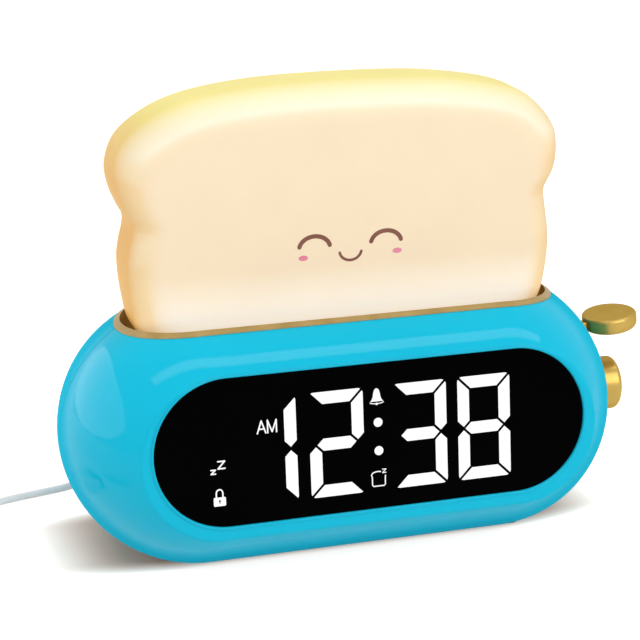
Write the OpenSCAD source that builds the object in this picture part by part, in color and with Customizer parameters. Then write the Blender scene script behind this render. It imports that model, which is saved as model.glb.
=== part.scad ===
// Kids' alarm clock with a night light: a toaster-shaped clock with a glowing slice of toast in
// its slot, a lever and a dial on its right end, and a USB lead at the back.
// Millimetres, +Z up. The front faces -Y. The origin is on the table, under the middle of the
// clock. The modules build round the middle of the housing, and placed() moves them there.

/* [Housing] */
// Width over the round ends
body_w = 178; // [174:0.5:182]
// Radius of the round ends, seen from the front
end_r = 41.5; // [41:0.5:42]
// Radius of the curve from front to back
bulge_r = 52; // [50:0.5:54]
// Height of the middle of the ends above the table
axis_z = 41.5; // [41:0.5:42]
// Distance from the parting line to the flat back
back_y = 36; // [34:0.5:37]
// Rounding of the back's edge
edge_r = 4; // [3.5:0.5:5]
// Thickness of the walls
wall = 2.4; // [2:0.2:2.8]
// Thickness of the front wall behind the display
front_wall = 4; // [3.6:0.2:4.4]
// Gap between the housing and the table
base_z = 3.4; // [3.2:0.1:3.8]

/* [Display] */
// Width of the display window
lens_w = 136; // [132:1:138]
// Height of the display window
lens_h = 45; // [43:0.5:46]
// Thickness of the display window
lens_t = 1.8; // [1.6:0.1:2]
// Depth of the window's face below the ring round it
lens_sink = 0.4; // [0.2:0.1:0.6]
// Tilt of the display away from upright, in degrees
face_tilt = 6.8; // [5:0.2:8]
// Height of the middle of the display above the table
face_z = 46.8; // [45:0.2:48]
// Distance of the middle of the display in front of the parting line
face_y = 38.2; // [37:0.2:39]
// Height of the digits
digit_h = 32.4; // [30:0.2:34]
// Width of the digits
digit_w = 17; // [15:0.5:18]
// Width of a lit segment
stroke = 3.7; // [3:0.1:4]

/* [Slot] */
// Length of the slot for the toast
slot_l = 140; // [138:0.5:141]
// Width of the slot
slot_w = 43; // [42:0.5:44]
// Wall of the slot's liner
liner_t = 1.2; // [1:0.1:1.4]
// Width of the rim that lies on the housing
rim_w = 0.7; // [0.5:0.1:1]
// Height of the rim above the housing
rim_h = 0.4; // [0.3:0.1:0.6]
// Height of the liner's floor above the table
tub_z = 62; // [61:0.5:63]

/* [Toast] */
// Height of the top of the toast above the table
toast_top = 149.2; // [140:0.2:156]
// Thickness of the toast
toast_t = 28; // [27:0.5:28.5]
// Width over the crown of the toast
crown_w = 139.6; // [136:0.2:142]
// Width of the waist below the crown
waist_w = 131.8; // [129:0.2:134]
// Width of the lower half of the toast
loaf_w = 135.4; // [133:0.2:136]
// Rounding of the toast's edges
toast_r = 7; // [6:0.5:8]
// Wall of the hollow toast
toast_wall = 1.8; // [1.6:0.1:2.2]

/* [Lever and dial] */
// Radius of the lever's round paddle
paddle_r = 8.9; // [8:0.1:9.5]
// Thickness of the paddle
paddle_t = 5.4; // [4.4:0.1:5.8]
// Angle by which the lever rises outwards, in degrees
lever_rise = 6.5; // [5:0.5:8]
// Distance from the lever's pivot to the middle of the paddle
lever_l = 18.5; // [18:0.1:19]
// Radius of the dial
dial_r = 8.75; // [8:0.05:9]
// Distance of the dial's end from the middle of the clock
dial_end = 96; // [94:0.1:97]

/* [Back] */
// Number of buttons
button_count = 4; // [4:1:4]
// Radius of the buttons
button_r = 3.6; // [3:0.1:4]
// Height of the buttons above the back
button_out = 1.2; // [1:0.1:1.5]
// Rings of holes in the speaker's grille
grille_rings = 4; // [3:1:4]

/* [Feet] */
// Radius of the rubber feet
foot_r = 4.6; // [4:0.1:5]
// Depth by which the feet are let into the base
foot_sink = 0.6; // [0.4:0.1:0.8]

/* [Cord] */
// Diameter of the USB lead
cord_d = 2.4; // [2.2:0.1:2.6]
// Diameter of the stored coil at the middle of its turns
coil_d = 26.4; // [24:0.4:28]

/* [Hidden] */
$fn = 64;

// Housing, worked out
straight = body_w / 2 - end_r;
bulge_x = end_r - bulge_r;
edge_x = bulge_x + sqrt(pow(bulge_r - edge_r, 2) - pow(back_y - edge_r, 2));
lip_t = wall / 2;
lip_d = 2;
slit = 0.12;
// Screw posts: x and z of the four that join the housing's halves
post_x = [-74, -30, 30, 74];
post_z = [27, 10.5, 10.5, 27];
post_r = 3.6;
screw_r = 1.45;
head_r = 2.8;

// Display, worked out
window_w = lens_w - 5;
window_h = lens_h - 5;
reflector_t = 5.5;
board_t = 1.6;
module_back = -lens_sink - lens_t - 0.2 - reflector_t;
display_post_x = lens_w / 2 - 2.4;
display_post_y = 11.5;
digit_x = [-33, -12, 14.5, 35.2];
digit_y = -0.8;
colon_x = 1.1;
lit = 0.05;
// Half the gap between two bars, along their edges
mitre = 0.55;
// Rounding of a digit's corners, up to the angle at which the gap ends it
corner_r = 1.6;
corner_a = 31;
lip_r = 0.4;
lip_gap = 0.15;

// Toast and lamp, worked out
toast_z = tub_z + 4;
half_t = toast_t / 2;
toast_y = 0.7;
slot_y = 0.25;
liner_post_x = 50;
liner_post_y = 7;
// Side of the slice from the middle of its crown down to the middle of its underside
slice_side = [[0, toast_top], [24, toast_top - 0.3], [46, toast_top - 3], [62, toast_top - 10.5],
    [crown_w / 2, toast_top - 24], [(crown_w + waist_w) / 4 + 0.5, toast_top - 32.5],
    [waist_w / 2, toast_top - 40.5], [loaf_w / 2, toast_top - 53],
    [loaf_w / 2 - 0.8, toast_top - 64], [loaf_w / 2 - 3.5, toast_z + 9],
    [loaf_w / 2 - 11, toast_z + 1.4], [loaf_w / 2 - 26, toast_z], [20, toast_z]];
slice_steps = 3;
base_l = 112;
base_w = 16;

// Lever and dial, worked out
lever_x = 75.5;
paddle_z = 62.8;
lever_z = paddle_z - lever_l * sin(lever_rise);
under_r = 2.2;
over_r = 1.1;
pin_r = 1.25;
hub_r = 2.7;
hub_w = 3;
cheek_gap = 5.6;
cheek_t = 1.4;
dial_z = axis_z - 0.5;
seat_x = 85.6;
seat_back = 83;
knob_x = seat_x + 0.5;
shaft_r = 3;
bush_r = 3.5;

// Back, worked out
board_x = -66;
board_z = 15.5;
board_l = 58;
board_h = 43.5;
board_y = 23;
board_post_x = [board_x + 3, board_x + board_l - 3];
board_post_z = [board_z + 3, board_z + board_h - 3];
button_x = [-56, -43, -30, -17];
button_z = 50;
usb_x = -31;
usb_z = 21;
speaker_x = 44;
speaker_z = 38;
speaker_r = 20;
speaker_post_r = speaker_r + 2.4;
grille_pitch = 4.2;
grille_hole = 1.1;

// Feet and battery, worked out
foot_x = [-46, 56];
foot_front = -7.5;
foot_back = 14;
cell_r = 10;
cell_x = 7;
cell_z = 38;
door_w = 23;
door_h = 31;
door_t = 1.4;
door_screw_z = 13.2;

// Lead: points that it follows along the table, from the plug in the clock to the coil, and
// from the coil to the plug at its far end
cord_r = cord_d / 2;
lead_out = 66;
tie_t = 0.9;
tie_gap = 0.75;
coil_at = [-131, 12];
coil_turns_r = 2 * cord_d;
coil_layers = 4;
coil_h = coil_layers * cord_d;
turn_z = tie_t + cord_r;
route = [[usb_x, lead_out, usb_z], [usb_x, 70, 20.6], [usb_x, 75, 18], [usb_x - 1, 81, 12.5],
    [usb_x - 3, 87, 6.5], [usb_x - 7, 92.5, 2.5], [-44, 95, cord_r], [-52, 92, cord_r],
    [-58.5, 85, cord_r], [-63, 76, cord_r], [-68.5, 66.5, cord_r], [-76, 59.8, cord_r],
    [-86, 56.8, cord_r], [-97, 54.2, cord_r], [-106, 50.6, cord_r], [-113, 44.6, cord_r],
    [-118.5, 38.2, cord_r + 0.2], [-124.5, 33.2, turn_z - 0.3], [-131, 31.2, turn_z],
    [-137, 29.6, turn_z]];
tail_z = tie_t + coil_h - cord_r;
tail = [[-142.9, 23.9, tail_z], [-145.7, 21.1, tail_z - 0.1], [-148.6, 18.2, tail_z - 0.7],
    [-151.3, 15.2, 7.2], [-153.2, 11, 5.8], [-154.2, 6, 4.8], [-154.5, 1, 4.2], [-154.5, -3, 4]];
plug_a = [-154.5, -3, 4];

// Middle of the whole clock, from its lowest to its highest x and y
paddle_x = lever_x + lever_l * cos(lever_rise);
part_x = -(paddle_x + paddle_r - body_w / 2) / 2;
front_y = face_y + (lens_h / 2 + 2) * sin(face_tilt);
part_y = (front_y - back_y - button_out) / 2;

module placed() {
    translate([part_x, part_y, 0]) children();
}

// Frame of the display: x to the right, y up along the face, z out of it
module on_face() {
    translate([0, -face_y, face_z]) rotate([90 - face_tilt, 0, 0]) children();
}

// Frame of the back: x to the left seen from behind, y up, z out of it
module on_back(x, z) {
    translate([x, back_y, z]) rotate([-90, 0, 0]) children();
}

module stadium(w, h) {
    square([w - h, h], center = true);
    for (s = [-1, 1]) translate([s * (w - h) / 2, 0]) circle(d = h);
}

module rounded_slab(w, h, t, r) {
    linear_extrude(t) {
        square([w - 2 * r, h], center = true);
        square([w, h - 2 * r], center = true);
        for (sx = [-1, 1], sy = [-1, 1])
            translate([sx * (w / 2 - r), sy * (h / 2 - r)]) circle(r = r);
    }
}

// ---- Housing

// Radius of the ends against depth, with the back's edge rounded
module side_profile(grow) {
    turn_y = (back_y - edge_r) * (bulge_r + grow) / (bulge_r - edge_r);
    intersection() {
        translate([bulge_x, 0]) circle(r = bulge_r + grow);
        translate([0, -bulge_r]) square([end_r + grow + 1, bulge_r + turn_y]);
    }
    translate([edge_x, back_y - edge_r]) circle(r = edge_r + grow);
    square([edge_x, back_y + grow]);
}

module pill(grow) {
    for (s = [-1, 1]) translate([s * straight, 0, axis_z]) rotate([-90, 0, 0])
        rotate([0, 0, -90 * s]) rotate_extrude(angle = 180) side_profile(grow);
    translate([-straight, 0, axis_z]) rotate([90, 0, 90]) linear_extrude(2 * straight)
        for (m = [0, 1]) mirror([0, m]) mirror([1, -1]) side_profile(grow);
}

// The housing's outside, grown or shrunk, with its tilted front and its flat base
module body_form(grow = 0, front = 0) {
    intersection() {
        pill(grow);
        translate([-body_w, -bulge_r, base_z - grow]) cube([2 * body_w, 2 * bulge_r, 3 * end_r]);
        on_face() translate([-body_w, -body_w, -2 * body_w])
            cube([2 * body_w, 2 * body_w, 2 * body_w + grow + front]);
    }
}

module body_cavity() {
    body_form(-wall, wall - front_wall);
}

// One side of the parting line, from y1 to y2
module slice_y(y1, y2) {
    translate([-body_w, y1, -10]) cube([2 * body_w, y2 - y1, 200]);
}

module slot_prism(grow, z1) {
    translate([0, slot_y, z1]) linear_extrude(axis_z + end_r + 5 - z1)
        stadium(slot_l + 2 * grow, slot_w + 2 * grow);
}

// Openings that the parting line runs through: slot, lever and dial
module end_openings() {
    slot_prism(0.15, tub_z - 5);
    translate([seat_x, 0, dial_z]) rotate([0, 90, 0]) cylinder(r = dial_r + 0.5, h = 20);
    translate([70, 0, dial_z]) rotate([0, 90, 0]) cylinder(r = bush_r + 0.05, h = 20);
    translate([lever_x, 0, lever_z]) rotate([0, -lever_rise + 4, 0])
        rotate([0, 90, 0]) linear_extrude(12) square([5.4, 5], center = true);
}

// Seat inside the right end that the dial's encoder is clamped to
module dial_seat() {
    intersection() {
        translate([seat_back, 0, dial_z]) rotate([0, 90, 0]) cylinder(r = dial_r + 2, h = 8);
        body_form(-0.2);
    }
}

// Fine bead that runs round the window
module window_lip() {
    r = lens_h / 2 + lip_gap + lip_r;
    for (s = [-1, 1]) {
        translate([s * (lens_w - lens_h) / 2, 0, 0]) rotate([0, 0, -90 * s])
            rotate_extrude(angle = 180) translate([r, 0]) circle(r = lip_r);
        translate([-(lens_w - lens_h) / 2, s * r, 0]) rotate([90, 0, 90])
            linear_extrude(lens_w - lens_h) circle(r = lip_r);
    }
}

module front_housing() placed() color("deepskyblue") difference() {
    union() {
        on_face() window_lip();
        intersection() {
            union() {
                difference() {
                    body_form();
                    body_cavity();
                }
                dial_seat();
            }
            slice_y(-60, 0);
        }
        intersection() {
            body_form(-0.2);
            for (i = [0:3]) translate([post_x[i], 0, post_z[i]]) rotate([90, 0, 0])
                cylinder(r = post_r, h = 60);
        }
        on_face() for (sx = [-1, 1], sy = [-1, 1])
            translate([sx * display_post_x, sy * display_post_y, module_back])
                cylinder(r = 2.5, h = -module_back - front_wall + 1);
    }
    // Rebate for the rear half's lip
    intersection() {
        body_form(-lip_t, wall - front_wall);
        slice_y(-lip_d - 0.2, 0);
    }
    // Window, and the pocket that seats it
    on_face() translate([0, 0, -front_wall - 2]) linear_extrude(front_wall + 4)
        stadium(window_w, window_h);
    on_face() translate([0, 0, -lens_sink - lens_t]) linear_extrude(6)
        stadium(lens_w + 0.2, lens_h + 0.2);
    on_face() for (sx = [-1, 1], sy = [-1, 1])
        translate([sx * display_post_x, sy * display_post_y, module_back - 1])
            cylinder(r = 0.95, h = 5);
    for (i = [0:3]) translate([post_x[i], 1, post_z[i]]) rotate([90, 0, 0])
        cylinder(r = screw_r + 0.05, h = 15);
    end_openings();
    foot_pockets();
}

module rear_housing() placed() color("deepskyblue") difference() {
    union() {
        intersection() {
            union() {
                difference() {
                    body_form();
                    body_cavity();
                }
                dial_seat();
            }
            slice_y(0, 60);
        }
        // Lip that keys into the front half
        intersection() {
            difference() {
                body_form(-lip_t - slit, wall - front_wall);
                body_cavity();
            }
            slice_y(-lip_d, 1);
        }
        intersection() {
            body_form(-0.2);
            union() {
                for (i = [0:3]) translate([post_x[i], 0, post_z[i]]) rotate([-90, 0, 0])
                    cylinder(r = head_r + 1.6, h = 60);
                // Posts for the main board, the slot's liner and the lever's bracket
                for (x = board_post_x, z = board_post_z)
                    translate([x, board_y + board_t, z]) rotate([-90, 0, 0]) cylinder(r = 2.2, h = 20);
                for (s = [-1, 1]) translate([s * liner_post_x, liner_post_y, 0])
                    cylinder(r = 3.4, h = tub_z - liner_t);
                translate([lever_x, cheek_gap / 2 + cheek_t, lever_z - 7]) rotate([-90, 0, 0])
                    cylinder(r = 2.6, h = 40);
            }
        }
        // Cup that holds the battery
        on_back(cell_x, cell_z) translate([0, 0, -door_t - 6.2]) {
            cylinder(r = cell_r + 1.4, h = 5.5);
            translate([0, door_screw_z, 0]) cylinder(r = 2.2, h = 5.5);
        }
        // Ring that seats the speaker, and the bosses of its screws
        on_back(speaker_x, speaker_z) translate([0, 0, -wall - 2]) {
            difference() {
                cylinder(r = speaker_r + 1.4, h = 2.2);
                translate([0, 0, -1]) cylinder(r = speaker_r + 0.2, h = 5);
            }
            for (a = [45:90:315]) rotate([0, 0, a]) translate([speaker_post_r, 0])
                cylinder(r = 2, h = 2.2);
        }
    }
    for (i = [0:3]) translate([post_x[i], -1, post_z[i]]) rotate([-90, 0, 0]) {
        cylinder(r = screw_r + 0.15, h = 60);
        translate([0, 0, 7]) cylinder(r = head_r + 0.3, h = 60);
    }
    for (x = board_post_x, z = board_post_z)
        translate([x, board_y, z]) rotate([-90, 0, 0]) cylinder(r = 1, h = 6);
    for (s = [-1, 1]) translate([s * liner_post_x, liner_post_y, tub_z - 10]) cylinder(r = 1.1, h = 12);
    translate([lever_x, 0, lever_z - 7]) rotate([-90, 0, 0]) cylinder(r = 0.95, h = 10);
    // Buttons, lead and grille
    for (i = [0:button_count - 1]) translate([button_x[i], back_y - 6, button_z])
        rotate([-90, 0, 0]) cylinder(r = button_r + 0.25, h = 10);
    on_back(usb_x, usb_z) translate([0, 0, -8]) linear_extrude(10) stadium(11.6, 7);
    on_back(speaker_x, speaker_z) for (a = [45:90:315])
        rotate([0, 0, a]) translate([speaker_post_r, 0, -wall - 3]) cylinder(r = 0.95, h = 4.4);
    on_back(speaker_x, speaker_z) translate([0, 0, -5]) {
        cylinder(r = grille_hole, h = 10);
        for (k = [1:grille_rings], j = [0:6 * k - 1]) rotate([0, 0, 60 * j / k])
            translate([k * grille_pitch, 0]) cylinder(r = grille_hole, h = 10);
    }
    // Battery's cup, its door and the door's screw
    on_back(cell_x, cell_z) {
        translate([0, 0, -door_t - 4.8]) cylinder(r = cell_r + 0.3, h = 8);
        battery_recess(0.2, 1);
        translate([0, door_screw_z, -door_t - 5]) cylinder(r = 1.05, h = 6);
    }
    end_openings();
    foot_pockets();
}

module foot_pockets() {
    for (x = foot_x, y = [foot_front, foot_back]) translate([x, y, base_z - 1])
        cylinder(r = foot_r + 0.05, h = 1 + foot_sink);
}

module foot(x, y) {
    placed() color("dimgray") translate([x, y, 0]) rotate_extrude() {
        square([foot_r - 0.5, base_z + foot_sink]);
        translate([0, 0.5]) square([foot_r, base_z + foot_sink - 0.5]);
        translate([foot_r - 0.5, 0.5]) circle(r = 0.5);
    }
}

// Pan-head screw along -y, its head's seat at the origin
module screw(r, head, length, head_h) {
    rotate([90, 0, 0]) difference() {
        union() {
            cylinder(r = r, h = length);
            translate([0, 0, -head_h]) cylinder(r = head, h = head_h);
        }
        for (a = [0, 90]) rotate([0, 0, a]) translate([-head * 0.55, -head * 0.1, -head_h - 1])
            cube([head * 1.1, head * 0.2, 1 + head_h * 0.55]);
    }
}

module housing_screws() placed() color("silver") for (i = [0:3])
    translate([post_x[i], 6, post_z[i]]) screw(screw_r, head_r, 18, 1.9);

// ---- Battery

module battery_recess(gap, up) {
    translate([0, 1.8, -door_t])
        rounded_slab(door_w + 2 * gap, door_h + 2 * gap, door_t + up, 3);
}

module battery_door() placed() color("deepskyblue") on_back(cell_x, cell_z) difference() {
    battery_recess(0, 0);
    translate([0, door_screw_z, -5]) cylinder(r = 1.2, h = 8);
    translate([0, door_screw_z, -0.7]) cylinder(r = 2.1, h = 2);
    for (i = [-2:2]) translate([-4, 2 * i - 9.3, -0.5]) cube([8, 0.6, 1]);
}

module battery_screw() placed() color("silver") on_back(cell_x, cell_z)
    translate([0, door_screw_z, -0.7]) rotate([90, 0, 0]) screw(1, 1.9, 4.2, 0.6);

module coin_cell() placed() color("silver") on_back(cell_x, cell_z)
    translate([0, 0, -door_t - 4.3]) rotate_extrude() {
        square([cell_r - 1.2, 3.2]);
        square([cell_r, 2.6]);
    }

module cell_contact() placed() color("goldenrod") on_back(cell_x, cell_z)
    translate([0, 0, -door_t - 4.75]) difference() {
        cylinder(r = cell_r - 3, h = 0.4);
        translate([0, 0, -1]) cylinder(r = cell_r - 5, h = 3);
    }

// ---- Slot

module slot_liner() placed() color("goldenrod") difference() {
    union() {
        intersection() {
            body_form(rim_h);
            slot_prism(0, tub_z - liner_t);
        }
        intersection() {
            difference() {
                body_form(rim_h);
                body_form(0.05);
            }
            slot_prism(rim_w, tub_z);
        }
    }
    slot_prism(-liner_t, tub_z);
    for (s = [-1, 1]) translate([s * liner_post_x, liner_post_y, tub_z - 5]) cylinder(r = 1.3, h = 6);
}

module liner_screws() placed() color("silver") for (s = [-1, 1])
    translate([s * liner_post_x, liner_post_y, tub_z]) rotate([90, 0, 0]) screw(1.05, 2.1, 8, 1.4);

// ---- Toast

module in_slot() {
    placed() translate([0, toast_y, 0]) children();
}

// Point on the smooth curve through p1 and p2, between them at t
function spline(p0, p1, p2, p3, t) =
    0.5 * (2 * p1 + (p2 - p0) * t + (2 * p0 - 5 * p1 + 4 * p2 - p3) * t * t
        + (3 * p1 - p0 - 3 * p2 + p3) * t * t * t);

function flip(p) = [-p[0], p[1]];

// The whole outline's corners, clockwise from the crown, then the curve through them
slice_corners = concat(slice_side, [for (i = [len(slice_side) - 1:-1:1]) flip(slice_side[i])]);
slice_count = len(slice_corners);
slice_outline = [for (i = [0:slice_count - 1], k = [0:slice_steps - 1])
    spline(slice_corners[(i + slice_count - 1) % slice_count], slice_corners[i],
        slice_corners[(i + 1) % slice_count], slice_corners[(i + 2) % slice_count],
        k / slice_steps)];
outline_count = len(slice_outline);

// Direction out of the outline at point i
function out_at(i) =
    let (d = slice_outline[(i + 1) % outline_count]
        - slice_outline[(i + outline_count - 1) % outline_count])
    [-d[1], d[0]] / norm(d);

// Closed slice, shrunk by inset, whose edges are rounded in steps
module slice_solid(inset, round_r, steps) {
    rows = [for (s = [-1, 1], k = [0:steps])
        let (a = 90 * (s < 0 ? k : steps - k) / steps)
        [inset + round_r * (1 - sin(a)), s * (half_t - inset - round_r * (1 - cos(a)))]];
    points = [for (row = rows, i = [0:outline_count - 1])
        let (p = slice_outline[i] - row[0] * out_at(i))
        [p[0], row[1], p[1]]];
    sides = [for (r = [0:len(rows) - 2], i = [0:outline_count - 1])
        let (j = (i + 1) % outline_count, a = r * outline_count, b = a + outline_count)
        [a + i, b + i, b + j, a + j]];
    last = (len(rows) - 1) * outline_count;
    polyhedron(points, concat([[for (i = [0:outline_count - 1]) i]], sides,
        [[for (i = [outline_count - 1:-1:0]) last + i]]));
}

module toast_shell() in_slot() color("navajowhite") difference() {
    slice_solid(0, toast_r, 4);
    slice_solid(toast_wall, toast_r - toast_wall, 2);
    translate([0, 0, toast_z - 1]) linear_extrude(5) stadium(base_l + 0.4, base_w + 0.4);
}

module toast_base() in_slot() color("white") difference() {
    union() {
        translate([0, 0, tub_z]) linear_extrude(toast_z - tub_z) stadium(base_l + 10, base_w + 8);
        translate([0, 0, tub_z]) linear_extrude(toast_z - tub_z + 3) stadium(base_l, base_w);
    }
    translate([0, 0, tub_z - 1]) linear_extrude(toast_z - tub_z) stadium(base_l + 6, base_w + 4);
    translate([0, 0, tub_z]) cylinder(r = 3, h = 20);
}

module lamp_board() in_slot() color("whitesmoke") difference() {
    translate([0, 0, toast_z + 3]) linear_extrude(board_t) stadium(base_l - 4, base_w - 4);
    translate([0, 0, toast_z]) cylinder(r = 1.5, h = 8);
}

module lamp_leds() in_slot() color("lightyellow") for (i = [-3:3]) if (i != 0)
    translate([i * 15, 0, toast_z + 3 + board_t]) {
        rounded_slab(5, 5, 1.2, 0.4);
        translate([0, 0, 1.2]) cylinder(r = 1.8, h = 0.3);
    }

// ---- Display

module display_window() placed() color("black") on_face() difference() {
    translate([0, 0, -lens_sink - lens_t]) linear_extrude(lens_t) stadium(lens_w, lens_h);
    translate([0, 0, -lens_sink - 0.5]) linear_extrude(1) {
        lit_digits();
        colon_dots();
    }
}

// One bar of a digit, a to g as 0 to 6, with its ends mitred against its neighbours
module bar(i) {
    w = digit_w / 2;
    h = digit_h / 2;
    half = stroke / 2;
    tip = [for (a = [0, corner_a / 2, corner_a]) corner_r * [1 - sin(a), 1 - cos(a)]];
    level = concat([for (p = tip) [w - p[0], h - p[1]]],
        [[w - stroke - mitre, h - stroke], [-w + stroke + mitre, h - stroke]],
        [for (k = [2:-1:0]) [-w + tip[k][0], h - tip[k][1]]]);
    upright = concat([for (k = [2:-1:0]) [w - tip[k][1], h - tip[k][0]]],
        [[w, half + mitre], [w - half, mitre], [w - stroke, half + mitre],
            [w - stroke, h - stroke - mitre]]);
    middle = [[w - half - mitre, 0], [w - stroke - mitre, -half], [-w + stroke + mitre, -half],
        [-w + half + mitre, 0], [-w + stroke + mitre, half], [w - stroke - mitre, half]];
    sx = i == 4 || i == 5 ? -1 : 1;
    sy = i == 2 || i == 3 || i == 4 ? -1 : 1;
    scale([sx, sy]) polygon(i == 6 ? middle : i % 3 == 0 ? level : upright);
}

// The time 12:38
module lit_digits() {
    shown = [[1, 2], [0, 1, 3, 4, 6], [0, 1, 2, 3, 6], [0, 1, 2, 3, 4, 5, 6]];
    for (i = [0:3]) translate([digit_x[i], digit_y]) for (b = shown[i]) bar(b);
}

module colon_dots() {
    for (y = [-4.4, 4.4]) translate([colon_x, digit_y + 0.6 + y]) circle(r = 1.4);
}

module display_digits() placed() color("white") on_face()
    translate([0, 0, -lens_sink - 0.5]) linear_extrude(0.5 + lit) lit_digits();

module display_colon() placed() color("white") on_face()
    translate([0, 0, -lens_sink - 0.5]) linear_extrude(0.5 + lit) colon_dots();

module display_reflector() placed() color("white") on_face() difference() {
    translate([0, 0, module_back]) linear_extrude(reflector_t)
        stadium(window_w - 0.6, window_h - 0.6);
    translate([0, 0, module_back + 1]) linear_extrude(reflector_t) {
        lit_digits();
        colon_dots();
    }
}

module display_board() placed() color("darkgreen") on_face() difference() {
    translate([0, 0, module_back - board_t]) linear_extrude(board_t) intersection() {
        stadium(lens_w + 3, 48);
        square([lens_w + 4, 38], center = true);
    }
    for (sx = [-1, 1], sy = [-1, 1])
        translate([sx * display_post_x, sy * display_post_y, module_back - 3]) cylinder(r = 1.1, h = 5);
}

module display_screws() placed() color("silver") on_face() for (sx = [-1, 1], sy = [-1, 1])
    translate([sx * display_post_x, sy * display_post_y, module_back - board_t]) rotate([-90, 0, 0])
        screw(0.9, 1.8, 5, 1);

// ---- Back

module main_board() placed() color("darkgreen") difference() {
    translate([board_x, board_y, board_z]) cube([board_l, board_t, board_h]);
    for (x = board_post_x, z = board_post_z)
        translate([x, board_y - 1, z]) rotate([-90, 0, 0]) cylinder(r = 1.15, h = 5);
}

module board_chips() placed() color("dimgray") {
    translate([board_x + 14, board_y - 1.4, board_z + 18]) cube([9, 1.4, 9]);
    translate([board_x + 34, board_y - 1.6, board_z + 22]) cube([6, 1.6, 5]);
    translate([board_x + 46, board_y - 1.6, board_z + 12]) cube([5, 1.6, 4]);
    for (x = [30, 44]) translate([board_x + x, board_y, board_z + 8]) rotate([90, 0, 0])
        cylinder(r = 2.5, h = 7);
}

module board_screws() placed() color("silver")
    for (x = board_post_x, z = board_post_z)
        translate([x, board_y, z]) mirror([0, 1, 0]) screw(0.95, 1.9, 5, 1.2);

module button_switches() placed() color("dimgray")
    for (i = [0:button_count - 1]) translate([button_x[i], board_y + board_t, button_z])
        rotate([-90, 0, 0]) {
            rounded_slab(6, 6, 3.4, 0.6);
            cylinder(r = 1.6, h = 3.9);
        }

// Domed button with a flange that keeps it in the housing
module button(i) {
    top = back_y + button_out;
    flange_y = back_y - wall - 1.6;
    placed() color("white") translate([button_x[i], 0, button_z]) rotate([-90, 0, 0])
        rotate_extrude() {
            translate([0, flange_y]) square([button_r + 1.1, 1.2]);
            translate([0, flange_y]) square([button_r, top - 0.6 - flange_y]);
            translate([0, flange_y]) square([button_r - 0.6, top - flange_y]);
            translate([button_r - 0.6, top - 0.6]) circle(r = 0.6);
            translate([0, board_y + board_t + 5]) square([1.4, 3]);
        }
}

module at_speaker() {
    placed() on_back(speaker_x, speaker_z) translate([0, 0, -wall]) mirror([0, 0, 1]) children();
}

module speaker_frame() color("dimgray") at_speaker() difference() {
    rotate_extrude() polygon([[0, 9], [9, 9], [speaker_r - 2.5, 2], [speaker_r, 2], [speaker_r, 0],
        [speaker_r - 3.6, 0], [8, 7.8], [0, 7.8]]);
    for (a = [30:60:330]) rotate([0, 0, a]) translate([13, 0, 0]) cylinder(r = 2.2, h = 20);
}

module speaker_cone() color("gray") at_speaker() rotate_extrude()
    polygon([[0, 4.3], [2.6, 4.6], [4.6, 5.6], [speaker_r - 5.2, 1], [speaker_r - 4.2, 0.35],
        [speaker_r - 4.2, 0.1], [speaker_r - 5.4, 0.5], [4.6, 5], [2.7, 4.1], [0, 3.8]]);

module speaker_magnet() color("silver") at_speaker() translate([0, 0, 9]) cylinder(r = 8, h = 4);

module speaker_screws() color("silver") at_speaker() for (a = [45:90:315])
    rotate([0, 0, a]) translate([speaker_post_r, 0, 2]) rotate([90, 0, 0]) screw(0.9, 3, 3.2, 1);

module usb_socket() placed() color("silver") on_back(usb_x, usb_z) difference() {
    translate([0, 0, board_y + board_t - back_y]) linear_extrude(9) stadium(9.2, 3.6);
    translate([0, 0, -6.6]) linear_extrude(9) difference() {
        stadium(8.6, 3);
        square([6.6, 0.7], center = true);
    }
}

// ---- Lever

module at_lever() {
    placed() translate([lever_x, 0, lever_z]) rotate([0, -lever_rise, 0]) children();
}

module lever_paddle() color("goldenrod") at_lever() translate([lever_l, 0, -paddle_t / 2])
    difference() {
        rotate_extrude() {
            square([paddle_r - under_r, paddle_t]);
            translate([0, under_r]) square([paddle_r - over_r, paddle_t - under_r]);
            translate([0, under_r]) square([paddle_r, paddle_t - under_r - over_r]);
            translate([paddle_r - under_r, under_r]) circle(r = under_r);
            translate([paddle_r - over_r, paddle_t - over_r]) circle(r = over_r);
        }
        translate([-paddle_r - 1, -1.55, paddle_t / 2 - 1.25]) cube([8, 3.1, 2.5]);
    }

module lever_arm() color("goldenrod") at_lever() difference() {
    union() {
        rotate([90, 0, 0]) cylinder(r = hub_r, h = hub_w, center = true);
        translate([0, -1.5, -1.2]) cube([lever_l - paddle_r + 6, 3, 2.4]);
        rotate([0, lever_rise, 0]) translate([-1.2, -1.5, -9]) cube([2.4, 3, 9]);
    }
    rotate([90, 0, 0]) cylinder(r = pin_r + 0.05, h = 10, center = true);
}

module lever_pin() placed() color("silver") translate([lever_x, 0, lever_z]) rotate([90, 0, 0])
    cylinder(r = pin_r, h = cheek_gap + 2 * cheek_t, center = true);

// Torsion spring round the pin, with one leg up against the housing's side
module lever_spring() placed() color("silver") translate([lever_x, 0, lever_z]) {
    for (i = [0:1]) translate([0, -hub_w / 2 - 0.4 - 0.45 * i, 0]) rotate([90, 0, 0])
        rotate_extrude() translate([1.9, 0]) circle(r = 0.25);
    translate([-2.15, -hub_w / 2 - 0.85, -5]) cylinder(r = 0.25, h = 5);
}

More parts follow.
